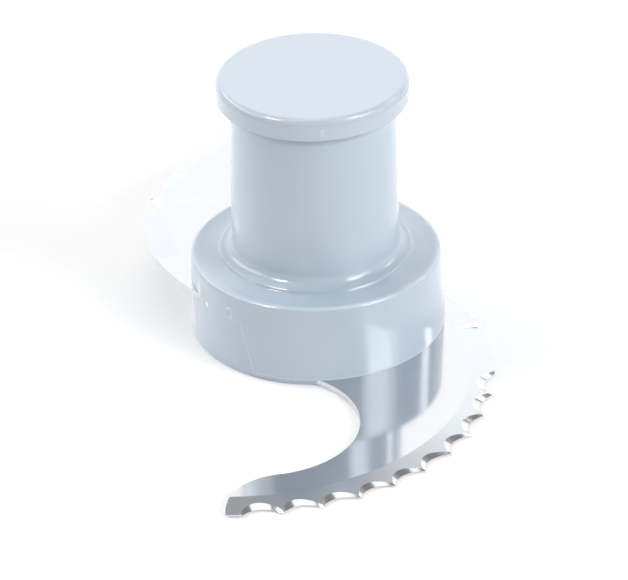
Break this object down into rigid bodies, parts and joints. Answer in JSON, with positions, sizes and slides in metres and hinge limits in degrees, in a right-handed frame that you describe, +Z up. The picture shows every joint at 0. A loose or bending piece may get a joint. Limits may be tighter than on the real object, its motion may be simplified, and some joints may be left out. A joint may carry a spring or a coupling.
{
  "type": "food processor blade",
  "caption": "Food processor S-blade: moulded hub with press-in cap and hooked-tooth sickle blades set at different heights, driven by a keyed socket.",
  "frame": {"origin": "on the hub's axis, at the face of the hub's foot", "axes": "+Z up the hub's axis towards the cap; the lower blade reaches towards -Y and the upper blade towards +Y"},
  "size_m": [0.0816, 0.1704, 0.0653],
  "materials": {
    "hub_plastic": "satin gloss, pale blue-grey",
    "cap_plastic": "satin gloss, very pale blue",
    "blade_steel": "bright rolled stainless steel, ground along the edge"
  },
  "bodies": {
    "root": {"hub": "hub_plastic", "cap": "cap_plastic", "lower_blade": "blade_steel", "upper_blade": "blade_steel"}
  },
  "joints": []
}
